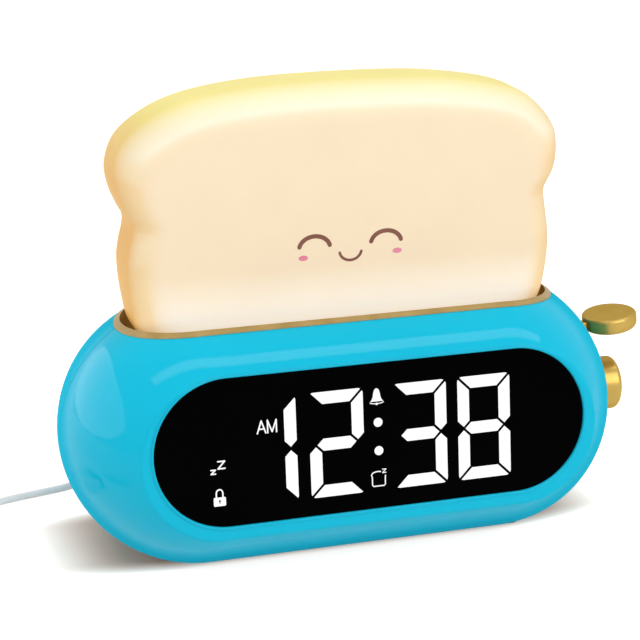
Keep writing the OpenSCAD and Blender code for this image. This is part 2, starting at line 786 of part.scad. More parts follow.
module lever_bracket() placed() color("white") difference() {
    union() {
        for (s = [-1, 1]) translate([lever_x - 2.6, s * (cheek_gap + cheek_t) / 2 - cheek_t / 2,
            lever_z - 11]) {
            cube([5.2, cheek_t, 11]);
            translate([2.6, cheek_t, 11]) rotate([90, 0, 0]) cylinder(r = 2.6, h = cheek_t);
        }
        translate([lever_x - 7, -cheek_gap / 2 - cheek_t, lever_z - 13])
            cube([9.6, cheek_gap + 2 * cheek_t, 2]);
    }
    translate([lever_x, 0, lever_z]) rotate([90, 0, 0])
        cylinder(r = pin_r + 0.02, h = 20, center = true);
    translate([lever_x, 0, lever_z - 7]) rotate([90, 0, 0]) cylinder(r = 1.05, h = 20, center = true);
}

module bracket_screw() placed() color("silver")
    translate([lever_x, cheek_gap / 2, lever_z - 7]) mirror([0, 1, 0]) screw(0.9, 1.6, 6, 0.6);

module lever_switch() placed() color("dimgray") translate([lever_x - 7, 0, lever_z - 11]) {
    translate([0, -2.6, 0]) cube([3.2, 5.2, 4.6]);
    translate([3.2, 0, 3.1]) rotate([0, 90, 0]) cylinder(r = 0.9, h = 1.6);
}

// ---- Dial

module dial_knob() placed() color("goldenrod") translate([0, 0, dial_z]) rotate([0, 90, 0])
    difference() {
        rotate_extrude() {
            translate([0, knob_x]) square([dial_r, dial_end - 1.6 - knob_x]);
            translate([0, knob_x]) square([dial_r - 1.6, dial_end - knob_x]);
            translate([dial_r - 1.6, dial_end - 1.6]) circle(r = 1.6);
        }
        translate([0, 0, seat_x - 1]) cylinder(r = 6.4, h = 3.9);
        cylinder(r = shaft_r, h = dial_end - 2);
    }

module dial_shaft() placed() color("silver") translate([seat_back + 0.4, 0, dial_z]) rotate([0, 90, 0])
    cylinder(r = shaft_r, h = dial_end - 2 - seat_back - 0.4);

module encoder_body() placed() color("dimgray") translate([0, 0, dial_z]) rotate([0, 90, 0])
    difference() {
        union() {
            translate([0, 0, seat_back - 6.5]) rounded_slab(12, 12, 6.5, 1);
            translate([0, 0, seat_back]) cylinder(r = bush_r, h = seat_x + 2.2 - seat_back);
        }
        translate([0, 0, seat_back + 0.3]) cylinder(r = shaft_r + 0.05, h = 10);
        for (a = [0, 180]) rotate([0, 0, a]) translate([-1, 5.4, seat_back - 6])
            cube([2, 1, 5]);
    }

module encoder_nut() placed() color("silver") translate([seat_x, 0, dial_z]) rotate([0, 90, 0])
    difference() {
        cylinder(r = 5.5, h = 1.8, $fn = 6);
        translate([0, 0, -1]) cylinder(r = bush_r + 0.02, h = 5);
    }

// ---- Lead

module usb_c_shell() placed() color("silver") on_back(usb_x, usb_z) translate([0, 0, -5.8])
    difference() {
        linear_extrude(7.8) stadium(8.3, 2.5);
        translate([0, 0, -1]) linear_extrude(6) stadium(7.7, 1.9);
    }

module usb_c_plug() placed() color("white") on_back(usb_x, usb_z) translate([0, 0, 0.6])
    difference() {
        intersection() {
            linear_extrude(18) stadium(11, 6.4);
            rotate_extrude() {
                square([7, 16.6]);
                square([5.6, 18]);
                translate([5.6, 16.6]) circle(r = 1.4);
            }
        }
        translate([0, 0, -1]) linear_extrude(2.4) stadium(8.3, 2.5);
    }

module usb_c_relief() placed() color("white") on_back(usb_x, usb_z) translate([0, 0, 18.6])
    cylinder(r1 = 2.9, r2 = cord_r + 0.3, h = lead_out - back_y - 18.6);

// Round tube through the points of path, as one closed solid with flat ends
function along(path, i) = let (a = path[max(i - 1, 0)], b = path[min(i + 1, len(path) - 1)])
    (b - a) / norm(b - a);
function aside(d) = let (s = cross(d, [0, 0, 1])) s / norm(s);
module tube(path, r, sides) {
    n = len(path);
    points = [for (i = [0:n - 1], k = [0:sides - 1])
        let (d = along(path, i), s = aside(d), u = cross(s, d), a = 360 * (k + 0.5) / sides)
        path[i] + r * (cos(a) * s + sin(a) * u)];
    walls = [for (i = [0:n - 2], k = [0:sides - 1])
        let (a = i * sides + k, b = i * sides + (k + 1) % sides)
        [a, b, b + sides, a + sides]];
    last = (n - 1) * sides;
    polyhedron(points, concat([[for (k = [sides - 1:-1:0]) k]], walls,
        [[for (k = [0:sides - 1]) last + k]]));
}

// The route's corners rounded by the curve through them
function smooth(p, steps) = concat([for (i = [0:len(p) - 2], k = [0:steps - 1])
    spline(p[max(i - 1, 0)], p[i], p[i + 1], p[min(i + 2, len(p) - 1)], k / steps)],
    [p[len(p) - 1]]);

module usb_cable() placed() color("white") tube(smooth(route, 2), cord_r, 8);

module cable_tail() placed() color("white") tube(smooth(tail, 2), cord_r, 8);

// Outer shape of the coiled turns, rounded by the turns at its corners
module cable_coil() placed() color("white") translate([coil_at[0], coil_at[1], tie_t])
    rotate_extrude() translate([coil_d / 2, 0]) {
        translate([-coil_turns_r + cord_r, 0]) square([2 * coil_turns_r - cord_d, coil_h]);
        translate([-coil_turns_r, cord_r]) square([2 * coil_turns_r, coil_h - cord_d]);
        for (s = [-1, 1], z = [cord_r, coil_h - cord_r])
            translate([s * (coil_turns_r - cord_r), z]) circle(r = cord_r);
    }

module cable_tie() placed() color("dimgray")
    translate([coil_at[0] - 3, coil_at[1] - coil_d / 2, tie_t + coil_h / 2]) rotate([0, 90, 0])
        difference() {
            rounded_slab(coil_h + 2 * tie_t, 2 * (coil_turns_r + tie_gap + tie_t), 6, cord_r + tie_t);
            translate([0, 0, -1]) rounded_slab(coil_h, 2 * (coil_turns_r + tie_gap), 8, cord_r);
        }

// Frame of the far plug: z along the lead, out of it
module at_plug_a() {
    placed() translate(plug_a) rotate([90, 0, 0]) children();
}

module usb_a_relief() color("white") at_plug_a() cylinder(r1 = cord_r + 0.3, r2 = 3, h = 9);

module usb_a_plug() color("white") at_plug_a() translate([0, 0, 9]) difference() {
    rounded_slab(15, 8, 20, 2);
    translate([0, 0, 18]) linear_extrude(5) square([12, 4.5], center = true);
}

module usb_a_shell() color("silver") at_plug_a() translate([0, 0, 27]) difference() {
    linear_extrude(14) square([12, 4.5], center = true);
    translate([0, 0, 4]) linear_extrude(12) difference() {
        square([11.4, 3.9], center = true);
        translate([0, 1]) square([11.4, 1.6], center = true);
    }
}

front_housing();
rear_housing();
housing_screws();
battery_door();
battery_screw();
coin_cell();
cell_contact();
foot(foot_x[0], foot_front);  // foot_1
foot(foot_x[1], foot_front);  // foot_2
foot(foot_x[0], foot_back);  // foot_3
foot(foot_x[1], foot_back);  // foot_4
slot_liner();
liner_screws();
toast_shell();
toast_base();
lamp_board();
lamp_leds();
display_window();
display_digits();
display_colon();
display_reflector();
display_board();
display_screws();
main_board();
board_chips();
board_screws();
button_switches();
button(0);  // button_1
button(1);  // button_2
button(2);  // button_3
button(3);  // button_4
speaker_frame();
speaker_cone();
speaker_magnet();
speaker_screws();
usb_socket();
lever_paddle();
lever_arm();
lever_pin();
lever_spring();
lever_bracket();
bracket_screw();
lever_switch();
dial_knob();
dial_shaft();
encoder_body();
encoder_nut();
usb_c_shell();
usb_c_plug();
usb_c_relief();
usb_cable();
cable_coil();
cable_tail();
cable_tie();
usb_a_relief();
usb_a_plug();
usb_a_shell();
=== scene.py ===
import math

import bmesh
import bpy
from mathutils import Matrix, Vector


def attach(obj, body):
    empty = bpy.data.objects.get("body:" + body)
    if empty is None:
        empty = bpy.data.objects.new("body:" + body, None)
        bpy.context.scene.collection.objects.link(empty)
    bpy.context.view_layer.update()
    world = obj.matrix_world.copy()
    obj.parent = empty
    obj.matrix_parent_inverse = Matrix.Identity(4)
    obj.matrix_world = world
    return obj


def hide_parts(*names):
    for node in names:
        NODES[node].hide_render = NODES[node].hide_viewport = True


# Looks of a toaster-shaped alarm clock with a lit slice of toast: camera, lead, materials, the
# slice, its printed face, the display's marks, and the stage

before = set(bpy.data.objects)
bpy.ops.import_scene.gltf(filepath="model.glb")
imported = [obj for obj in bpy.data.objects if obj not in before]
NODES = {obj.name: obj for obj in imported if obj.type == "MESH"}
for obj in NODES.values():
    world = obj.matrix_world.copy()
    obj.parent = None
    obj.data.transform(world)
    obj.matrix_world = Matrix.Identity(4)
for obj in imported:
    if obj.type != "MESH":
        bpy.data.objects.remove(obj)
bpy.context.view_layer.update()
MM = 0.001

# Where the middle of the housing stands in the shared frame, in millimetres
PART_X, PART_Y = -6.8905, 1.9504


def at(x, y, z):
    """Point in metres from millimetres about the middle of the housing."""
    return Vector(((x + PART_X) * MM, (y + PART_Y) * MM, z * MM))


# ---------------------------------------------------------------- camera
FACE = at(0, -38.2, 46.8)  # middle of the display's window
CAMERA_TURN, CAMERA_RISE = math.radians(-17.269), math.radians(18.059)
CAMERA_LENS, CAMERA_SENSOR = 113.09, 36
# From FACE to the camera: to its right, up and back, in the units that it was fitted in
CAMERA_FROM_FACE = (-18.506, 38.901, 671.191)
CAMERA_UNIT = 0.0009


def add_camera():
    az, el = CAMERA_TURN, CAMERA_RISE
    right = Vector((math.cos(az), math.sin(az), 0))
    back = Vector((math.sin(az) * math.cos(el), -math.cos(az) * math.cos(el), math.sin(el)))
    up = back.cross(right)
    data = bpy.data.cameras.new("camera")
    data.sensor_width = CAMERA_SENSOR
    data.lens = CAMERA_LENS
    cam = bpy.data.objects.new("camera", data)
    turn = Matrix((right, up, back)).transposed().to_4x4()
    aside, above, away = CAMERA_FROM_FACE
    spot = FACE + CAMERA_UNIT * (aside * right + above * up + away * back)
    cam.matrix_world = Matrix.Translation(spot) @ turn
    bpy.context.scene.collection.objects.link(cam)
    bpy.context.scene.camera = cam


add_camera()


# ---------------------------------------------------------------- helpers
def link(name, data):
    """Object that rides on the clock's body."""
    obj = bpy.data.objects.new(name, data)
    bpy.context.scene.collection.objects.link(obj)
    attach(obj, "clock")
    return obj


def smooth_mesh(name, verts, faces):
    mesh = bpy.data.meshes.new(name)
    mesh.from_pydata([tuple(v) for v in verts], [], faces)
    mesh.validate()
    bm = bmesh.new()
    bm.from_mesh(mesh)
    bmesh.ops.recalc_face_normals(bm, faces=bm.faces)
    bm.to_mesh(mesh)
    bm.free()
    for poly in mesh.polygons:
        poly.use_smooth = True
    return mesh


def ease(t):
    """0 up to t = 0, 1 from t = 1 on, and a smooth rise between them."""
    t = min(max(t, 0), 1)
    return t * t * (3 - 2 * t)


def spline(p0, p1, p2, p3, t):
    """Point of the smooth curve from p1 to p2, for tuples of any length."""
    return tuple(
        0.5 * (2 * b + (c - a) * t + (2 * a - 5 * b + 4 * c - d) * t * t
               + (3 * b - a - 3 * c + d) * t ** 3)
        for a, b, c, d in zip(p0, p1, p2, p3)
    )


# ---------------------------------------------------------------- cord
CORD_R = 1.2
TIE_T = 0.9  # the tie passes under the coil
TURN_Z = TIE_T + CORD_R
USB_X = -31
# From the plug's strain relief down to the table, and along it to the coil
ROUTE = [(USB_X, 66, 21), (USB_X, 70, 20.6), (USB_X, 75, 18), (USB_X - 1, 81, 12.5),
         (USB_X - 3, 87, 6.5), (USB_X - 7, 92.5, 2.5), (-44, 95, CORD_R), (-52, 92, CORD_R),
         (-58.5, 85, CORD_R), (-63, 76, CORD_R), (-68.5, 66.5, CORD_R), (-76, 59.8, CORD_R),
         (-86, 56.8, CORD_R), (-97, 54.2, CORD_R), (-106, 50.6, CORD_R), (-113, 44.6, CORD_R),
         (-118.5, 38.2, CORD_R + 0.2), (-124.5, 33.2, TURN_Z - 0.3)]
# From the coil's last turn down to the far plug's strain relief
TAIL = [(-145.7, 21.1, 9.2), (-148.6, 18.2, 8.6), (-151.3, 15.2, 7.2), (-153.2, 11, 5.8),
        (-154.2, 6, 4.8), (-154.5, 1, 4.2), (-154.5, -3, 4)]

COIL_AT = (-131, 12)
COIL_R = 16.8  # of the outermost turns
COIL_TURNS, COIL_LAYERS = 4, 4
# Angles, in degrees: where the coil starts and ends, between its points, how long each move to
# the next turn or layer takes, and how far apart two moves to the next turn are at least
COIL_FROM, COIL_TO, COIL_STEP, SHIFT, APART = 90, 135, 15, 45, 270
# Each layer's moves to the next turn, and its step up, start a quarter turn before the last one's
TURN_AT, RISE_AT, QUARTER = 45, 0, 90
PATH_STEPS = 4


def coil_moves():
    """Moves of the winding as (angle, change of radius, change of height), and its last angle."""
    pitch = 2 * CORD_R
    moves = []
    angle = COIL_FROM
    for layer in range(COIL_LAYERS):
        outward = 1 if layer % 2 else -1
        for _ in range(COIL_TURNS - 1):
            start = angle + (TURN_AT - QUARTER * layer - angle) % 360
            if start < angle + APART:
                start += 360
            moves.append((start, outward * pitch, 0))
            angle = start + SHIFT
        if layer < COIL_LAYERS - 1:
            start = angle + (RISE_AT - QUARTER * layer - angle) % 360
            moves.append((start, 0, pitch))
            angle = start + SHIFT
    end = angle + (COIL_TO - angle) % 360
    return moves, end + 360 if end < angle + QUARTER else end


def coil_points():
    """Turns wound from the outside in and out again, layer on layer, four turns to a layer."""
    moves, end = coil_moves()
    points = []
    for angle in range(COIL_FROM, end + 1, COIL_STEP):
        # The lead comes in one diameter outside the first turn
        r = COIL_R + 2 * CORD_R * (1 - ease((angle - COIL_FROM) / SHIFT))
        z = TURN_Z
        for start, outward, upward in moves:
            part = ease((angle - start) / SHIFT)
            r += outward * part
            z += upward * part
        t = math.radians(angle)
        points.append((COIL_AT[0] + r * math.cos(t), COIL_AT[1] + r * math.sin(t), z))
    return points


def smooth_path(points):
    """The points, joined by smooth curves of PATH_STEPS steps each."""
    out = []
    for i in range(len(points) - 1):
        a, b = points[max(i - 1, 0)], points[i]
        c, d = points[i + 1], points[min(i + 2, len(points) - 1)]
        out += [spline(a, b, c, d, k / PATH_STEPS) for k in range(PATH_STEPS)]
    return out + [points[-1]]


def add_lead():
    turns = coil_points()
    path = smooth_path(ROUTE + turns[:1])[:-1] + turns + smooth_path(turns[-1:] + TAIL)[1:]
    path = [(x, y, max(z, CORD_R)) for x, y, z in path]
    curve = bpy.data.curves.new("usb_lead", "CURVE")
    curve.dimensions = "3D"
    curve.bevel_depth = 1  # times the radius of each point
    curve.bevel_resolution = 5
    curve.use_fill_caps = True
    line = curve.splines.new("POLY")
    line.points.add(len(path) - 1)
    for point, p in zip(line.points, path):
        point.co = (*at(*p), 1)
        point.radius = CORD_R * MM
    line.use_smooth = True
    lead = link("usb_lead", curve)
    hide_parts("usb_cable", "cable_coil", "cable_tail")
    return lead


lead = add_lead()


# ---------------------------------------------------------------- shader nodes
def colour(r, g, b):
    """Linear colour from sRGB numbers of 0 to 255."""
    line = [c / 255 / 12.92 if c < 10.3 else ((c / 255 + 0.055) / 1.055) ** 2.4 for c in (r, g, b)]
    return (*line, 1.0)


def grey(value):
    return (value, value, value, 1)


def feed(tree, source, socket):
    """Put the output of a node, or else a plain value, on a socket."""
    if isinstance(source, bpy.types.NodeSocket):
        tree.links.new(source, socket)
    else:
        socket.default_value = source


def maths(tree, kind, *sources):
    """Output of a math node on one or two sources."""
    node = tree.nodes.new("ShaderNodeMath")
    node.operation = kind
    for source, socket in zip(sources, node.inputs):
        feed(tree, source, socket)
    return node.outputs[0]


def spread(tree, fac, low, high, start=0, end=1):
    """Value that runs from low to high while fac runs from start to end."""
    node = tree.nodes.new("ShaderNodeMapRange")
    for name, source in (("Value", fac), ("From Min", start), ("From Max", end),
                         ("To Min", low), ("To Max", high)):
        feed(tree, source, node.inputs[name])
    return node.outputs["Result"]


class Shader:
    """One material, and the nodes that lead to its Principled shader."""

    def __init__(self, name):
        self.mat = bpy.data.materials.new(name)
        self.mat.use_nodes = True
        self.tree = self.mat.node_tree
        self.bsdf = self.tree.nodes["Principled BSDF"]
        self.coord = self.tree.nodes.new("ShaderNodeTexCoord")

    def put(self, name, source):
        """Feed the shader's own socket of this name."""
        feed(self.tree, source, self.bsdf.inputs[name])

    def noise(self, scale, detail=3, stretch=(1, 1, 1)):
        where = self.tree.nodes.new("ShaderNodeMapping")
        feed(self.tree, stretch, where.inputs["Scale"])
        feed(self.tree, self.coord.outputs["Object"], where.inputs["Vector"])
        node = self.tree.nodes.new("ShaderNodeTexNoise")
        for name, source in (("Scale", scale), ("Detail", detail),
                             ("Vector", where.outputs["Vector"])):
            feed(self.tree, source, node.inputs[name])
        return node.outputs["Fac"]

    def ramp(self, fac, stops):
        node = self.tree.nodes.new("ShaderNodeValToRGB")
        while len(node.color_ramp.elements) < len(stops):
            node.color_ramp.elements.new(0.5)
        for element, (place, shade) in zip(node.color_ramp.elements, stops):
            element.position = place
            element.color = shade
        feed(self.tree, fac, node.inputs["Fac"])
        return node.outputs["Color"]

    def fade(self, fac, start, end):
        """Black up to start, white from end on."""
        return self.ramp(fac, [(start, grey(0)), (end, grey(1))])

    def mix(self, fac, a, b):
        node = self.tree.nodes.new("ShaderNodeMix")
        node.data_type = "RGBA"
        for name, source in (("Factor", fac), ("A", a), ("B", b)):
            feed(self.tree, source, node.inputs[name])
        return node.outputs["Result"]

    def split(self, vector):
        """The X, Y and Z of a vector."""
        node = self.tree.nodes.new("ShaderNodeSeparateXYZ")
        feed(self.tree, vector, node.inputs["Vector"])
        return node.outputs

    def bump(self, height, distance, normal=None):
        node = self.tree.nodes.new("ShaderNodeBump")
        feed(self.tree, distance, node.inputs["Distance"])
        feed(self.tree, height, node.inputs["Height"])
        if normal is not None:
            feed(self.tree, normal, node.inputs["Normal"])
        return node.outputs["Normal"]

    def rounded(self, radius):
        """Normal that softens the mesh's sharp edges."""
        node = self.tree.nodes.new("ShaderNodeBevel")
        node.samples = 8
        feed(self.tree, radius, node.inputs["Radius"])
        return node.outputs["Normal"]


# ---------------------------------------------------------------- materials
# Facing, from 0 straight on to 1 edge on, between which the gloss softens
GLANCE = (0.55, 0.80)


def finish(name, light, dark, rough=(0.3, 0.4), metal=0.0, patch=120, grain=2500, bump=0.00002,
           stretch=(1, 1, 1), specular=0.5, tint=(1, 1, 1, 1), edge=None, graze=0):
    """Plain moulded, painted or plated finish: soft patches of colour, and a fine grain.

    edge is the radius that sharp edges are shaded with, in metres. graze is the roughness that
    is added at a glancing angle.
    """
    s = Shader(name)
    soft = s.noise(patch, 4, stretch)
    fine = s.noise(grain, 2, stretch)
    s.put("Base Color", s.ramp(soft, [(0.35, dark), (0.65, light)]))
    gloss = spread(s.tree, soft, *rough)
    if graze:
        weight = s.tree.nodes.new("ShaderNodeLayerWeight")
        gloss = maths(s.tree, "ADD", gloss,
                      spread(s.tree, weight.outputs["Facing"], 0, graze, *GLANCE))
    s.put("Roughness", gloss)
    s.put("Normal", s.bump(fine, bump, s.rounded(edge) if edge else None))
    s.put("Metallic", metal)
    s.put("Specular IOR Level", specular)
    s.put("Specular Tint", tint)
    return s.mat


def lit_material():
    """Even white light of the digits, the lit marks and the lamps."""
    s = Shader("lit_white")
    soft = s.noise(260)
    s.put("Emission Color", s.ramp(soft, [(0.3, grey(0.97)), (0.6, grey(1))]))
    s.put("Emission Strength", 1.0)
    s.put("Base Color", grey(0.02))
    s.put("Roughness", spread(s.tree, soft, 0.45, 0.55))
    return s.mat


# Heights in metres between which the toast's colours run
TOAST_LOW, TOAST_HIGH = 0.066, 0.150


def toast_material():
    """Milky silicone, lit from inside: warm at its sides, yellow on its crown, cream in front,
    with a painted highlight where the sides turn into the front.
    """
    s = Shader("toast")
    normal = s.split(s.coord.outputs["Normal"])
    place = s.split(s.coord.outputs["Object"])
    height = spread(s.tree, place["Z"], 0, 1, TOAST_LOW, TOAST_HIGH)
    facing = maths(s.tree, "ABSOLUTE", normal["Y"])
    side = s.ramp(height, [(0.0, colour(238, 185, 105)), (0.68, colour(242, 192, 116)),
                           (0.77, colour(244, 204, 128)), (0.83, colour(249, 218, 138)),
                           (0.89, colour(253, 234, 146)), (0.94, colour(255, 241, 154))])
    front = s.ramp(height, [(0.0, colour(255, 234, 190)), (0.08, colour(255, 243, 225)),
                            (0.17, colour(254, 247, 233)), (0.255, colour(253, 238, 214)),
                            (0.33, colour(252, 230, 198)), (1.0, colour(252, 233, 200))])
    # Painted highlight where the sides turn into the front, paler at the crown, where it faces up
    painted_edge_highlight = s.mix(s.fade(normal["Z"], 0, 0.35), colour(251, 222, 174), colour(255, 246, 220))
    shade = s.mix(s.fade(facing, 0.9, 1.0), s.mix(s.fade(facing, 0.1, 0.9), side, painted_edge_highlight), front)
    soft = s.noise(60)
    s.put("Base Color", s.mix(spread(s.tree, soft, 0.30, 0.36), shade, (0.02, 0.012, 0.006, 1)))
    s.put("Emission Color", shade)
    # Extra glow, most at the foot of the slice where the lamps inside stand low; at the foot it
    # is also painted light that lifts the shade of the slot. A little is added near the top too
    low = s.ramp(height, [(0.0, grey(0.38)), (0.065, grey(0.28)), (0.10, grey(0.18)),
                          (0.20, grey(0.09)), (0.35, grey(0)), (0.85, grey(0)),
                          (0.95, grey(0.07))])
    s.put("Emission Strength", maths(s.tree, "ADD", spread(s.tree, facing, 0.17, 0.3), low))
    s.put("Roughness", spread(s.tree, soft, 0.42, 0.52))
    s.put("Specular IOR Level", 0.06)
    s.put("Normal", s.bump(s.noise(900, 2), 0.00001))
    return s.mat


SHELL = finish("blue_shell", colour(10, 188, 221), colour(8, 184, 217), (0.03, 0.05), patch=14,
               grain=900, bump=0.000003, specular=0.11, edge=0.0015, graze=0.9)
GOLD = finish("gold_trim", colour(193, 163, 88), colour(186, 154, 80), (0.28, 0.32), metal=0.7,
              patch=90, grain=3000, bump=0.000002, specular=0.2, tint=(0.6, 0.45, 0.2, 1),
              edge=0.0008)
LINER = finish("liner_gold", colour(176, 150, 94), colour(162, 136, 80), (0.34, 0.42), metal=0.5,
               patch=150, grain=2600, bump=0.00001)
RUBBER = finish("foot_rubber", colour(30, 31, 33), colour(22, 23, 25), (0.6, 0.75), grain=1800,
                bump=0.00005)
WHITE = finish("white_plastic", colour(238, 237, 233), colour(230, 229, 225), (0.32, 0.42),
               grain=1600, bump=0.00001)
LEAD = finish("lead_white", colour(250, 250, 250), colour(245, 245, 245), (0.42, 0.55), patch=300,
              grain=2200)
STEEL = finish("steel", colour(196, 197, 200), colour(176, 178, 182), (0.2, 0.34), metal=1.0,
               patch=400, grain=3200, bump=0.000006, stretch=(1, 6, 1))
BRASS = finish("contact_brass", colour(205, 168, 88), colour(188, 150, 74), (0.22, 0.34), metal=1.0)
BOARD = finish("circuit_board", colour(22, 92, 54), colour(14, 74, 42), (0.35, 0.5), patch=500)
LAMP_BOARD = finish("lamp_board_white", colour(232, 232, 228), colour(220, 220, 216), (0.35, 0.5))
DARK = finish("dark_plastic", colour(40, 40, 42), colour(30, 30, 32), (0.45, 0.6), grain=1500)
PAPER = finish("speaker_paper", colour(62, 58, 54), colour(44, 41, 38), (0.8, 0.95), grain=900,
               bump=0.0001)
LENS = finish("black_lens", (0.0009, 0.0009, 0.0012, 1), (0.0006, 0.0006, 0.0009, 1), (0.05, 0.08),
              patch=20, grain=400, bump=0.000001, specular=0.006)
BROWN = finish("brown_print", colour(132, 78, 62), colour(116, 66, 52), (0.5, 0.6), grain=4000)
PINK = finish("pink_print", colour(232, 138, 160), colour(226, 126, 150), (0.5, 0.6), grain=4000)
LIT = lit_material()
TOAST = toast_material()

FINISHES = [
    (SHELL, "front_housing rear_housing battery_door"),
    (GOLD, "lever_paddle lever_arm dial_knob"),
    (LINER, "slot_liner"),
    (WHITE, "toast_base display_reflector lever_bracket button_1 button_2 button_3 button_4"),
    (LENS, "display_window"),
    (LIT, "display_digits display_colon lamp_leds"),
    (BOARD, "display_board main_board"),
    (LAMP_BOARD, "lamp_board"),
    (DARK, "board_chips button_switches speaker_frame lever_switch encoder_body cable_tie"),
    (PAPER, "speaker_cone"),
    (STEEL, "housing_screws battery_screw liner_screws display_screws board_screws speaker_screws "
            "bracket_screw coin_cell usb_socket lever_pin lever_spring dial_shaft encoder_nut "
            "speaker_magnet usb_c_shell usb_a_shell"),
    (BRASS, "cell_contact"),
    (RUBBER, "foot_1 foot_2 foot_3 foot_4"),
    (LEAD, "usb_c_plug usb_c_relief usb_cable cable_coil cable_tail usb_a_relief usb_a_plug"),
    (TOAST, "toast_shell"),
]
for mat, names in FINISHES:
    for node in names.split():
        data = NODES[node].data
        if data.materials:
            data.materials[0] = mat
        else:
            data.materials.append(mat)
lead.data.materials.append(LEAD)


# ---------------------------------------------------------------- toast
# Heights of the slice's top and foot, its thickness, and its middle from front to back
TOAST_TOP, TOAST_FOOT, TOAST_T, TOAST_Y = 149.2, 66.0, 28.0, 0.7
# Outline of the slice, a little uneven: distance from its middle, and distance below its top
RIGHT = [(0, 0), (24, 0.6), (40, 2.4), (53, 5.1), (61.4, 9.2), (68.6, 17.2), (70.3, 24),
         (69.2, 31), (65.9, 37.2), (66.0, 42), (67.5, 53), (66.9, 64)]
LEFT = [(24, 0.5), (42, 2.6), (53, 5.5), (60.5, 9.2), (66, 13.4), (69.2, 18), (70.8, 24.5),
        (69.8, 31), (67.6, 36.4), (65.9, 39.8), (66.0, 43), (67.2, 48), (67.9, 54), (67.0, 64)]
# Its lower end, hidden in the slot: distance from its middle, and height above its foot
RIGHT_END = [(64.2, 9), (56.7, 1.4), (41.7, 0), (20, 0)]
LEFT_END = [(64.4, 9), (56.7, 1.4), (41.7, 0), (20, 0)]
OUTLINE_STEPS = 6
# The rounding of the edges: rows, reach in from the outline, and depth, which grows over a height
# of CROWN_OVER from CROWN_FROM up, in front
ROWS = 10
FRONT_IN, BACK_IN = 10.5, 8.5
FRONT_DEEP, CROWN_DEEPER, BACK_DEEP = 7.2, 3.6, 6.2
CROWN_FROM, CROWN_OVER = 106, 24
FLAT_IN = 2  # one more ring in each flat face, so that the faces shade evenly
# Rings shrink towards the middle of the slice by their share of its half width and half height
MIDDLE_Z, HALF_WIDTH, HALF_HEIGHT = 108, 68, 42


def half_outline(down, end):
    return [(x, TOAST_TOP - d) for x, d in down] + [(x, TOAST_FOOT + up) for x, up in end]


def toast_levels():
    """Rings from front to back: distance in, share of the rounding's depth, and -1 or 1."""
    quarter = [math.radians(90 * k / ROWS) for k in range(ROWS + 1)]
    levels = [(FRONT_IN + FLAT_IN, 0, -1)]
    levels += [(FRONT_IN * (1 - math.sin(a)), 1 - math.cos(a), -1) for a in quarter]
    levels += [(BACK_IN * (1 - math.sin(a)), 1 - math.cos(a), 1) for a in quarter[::-1]]
    return levels + [(BACK_IN + FLAT_IN, 0, 1)]


def add_toast():
    left = [(-x, z) for x, z in half_outline(LEFT, LEFT_END)]
    corners = half_outline(RIGHT, RIGHT_END) + left[::-1]
    n = len(corners)
    ring = [spline(corners[i - 1], corners[i], corners[(i + 1) % n], corners[(i + 2) % n],
                   k / OUTLINE_STEPS)
            for i in range(n) for k in range(OUTLINE_STEPS)]
    verts, faces = [], []
    for inset, turn, end in toast_levels():
        for x, z in ring:
            # The front's edge is rounder at the crown than below
            front_deep = FRONT_DEEP + CROWN_DEEPER * ease((z - CROWN_FROM) / CROWN_OVER)
            y = end * (TOAST_T / 2 - (front_deep if end < 0 else BACK_DEEP) * turn)
            verts.append(at(x * (1 - inset / HALF_WIDTH), TOAST_Y + y,
                            MIDDLE_Z + (z - MIDDLE_Z) * (1 - inset / HALF_HEIGHT)))
    m = len(ring)
    last = len(verts) - m
    for row in range(0, last, m):
        for i in range(m):
            j = (i + 1) % m
            faces.append((row + i, row + j, row + m + j, row + m + i))
    faces.append(tuple(range(m)))
    faces.append(tuple(range(last + m - 1, last - 1, -1)))
    toast = link("toast", smooth_mesh("toast", verts, faces))
    toast.data.materials.append(TOAST)
    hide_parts("toast_shell")


add_toast()


# ---------------------------------------------------------------- thin marks
def stroke(points, width):
    """Outline of a rounded stroke through the points."""
    half = width / 2
    left, right = [], []
    for i, (x, y) in enumerate(points):
        ax, ay = points[max(i - 1, 0)]
        bx, by = points[min(i + 1, len(points) - 1)]
        size = math.hypot(bx - ax, by - ay)
        nx, ny = -(by - ay) / size, (bx - ax) / size
        left.append((x + nx * half, y + ny * half))
        right.append((x - nx * half, y - ny * half))

    def cap(tip, before):
        (cx, cy), (px, py) = points[tip], points[before]
        a = math.atan2(cy - py, cx - px)
        return [(cx + half * math.cos(a + t), cy + half * math.sin(a + t))
                for t in (math.radians(q) for q in (60, 30, 0, -30, -60))]

    return left + cap(-1, -2) + right[::-1] + cap(0, 1)


def arc(cx, cy, rx, ry, a0, a1, n):
    """Points of an ellipse's arc from the angle a0 to a1, in n steps."""
    angles = [math.radians(a0 + (a1 - a0) * k / n) for k in range(n + 1)]
    return [(cx + rx * math.cos(a), cy + ry * math.sin(a)) for a in angles]


def marks(name, outlines, place, thick, mat):
    """Flat printed or lit marks as thin closed solids; place turns (x, y, z) into a point."""
    bm = bmesh.new()
    for outline in outlines:
        low = [bm.verts.new(place(x, y, 0)) for x, y in outline]
        high = [bm.verts.new(place(x, y, thick)) for x, y in outline]
        n = len(outline)
        bm.faces.new(low[::-1])
        bm.faces.new(high)
        for i in range(n):
            bm.faces.new((low[i], low[(i + 1) % n], high[(i + 1) % n], high[i]))
    bmesh.ops.recalc_face_normals(bm, faces=bm.faces)
    mesh = bpy.data.meshes.new(name)
    bm.to_mesh(mesh)
    bm.free()
    mesh.materials.append(mat)
    link(name, mesh)


TILT = math.radians(6.8)  # the display leans back
FACE_UP = Vector((0, math.sin(TILT), math.cos(TILT)))
FACE_OUT = Vector((0, -math.cos(TILT), math.sin(TILT)))
WINDOW_BACK = 0.4  # the window's front lies this far behind FACE
PRINT_IN = 0.03  # printed marks start this far inside the toast
LIT_T, HOLE_T, PRINT_T = 0.05, 0.02, 0.08


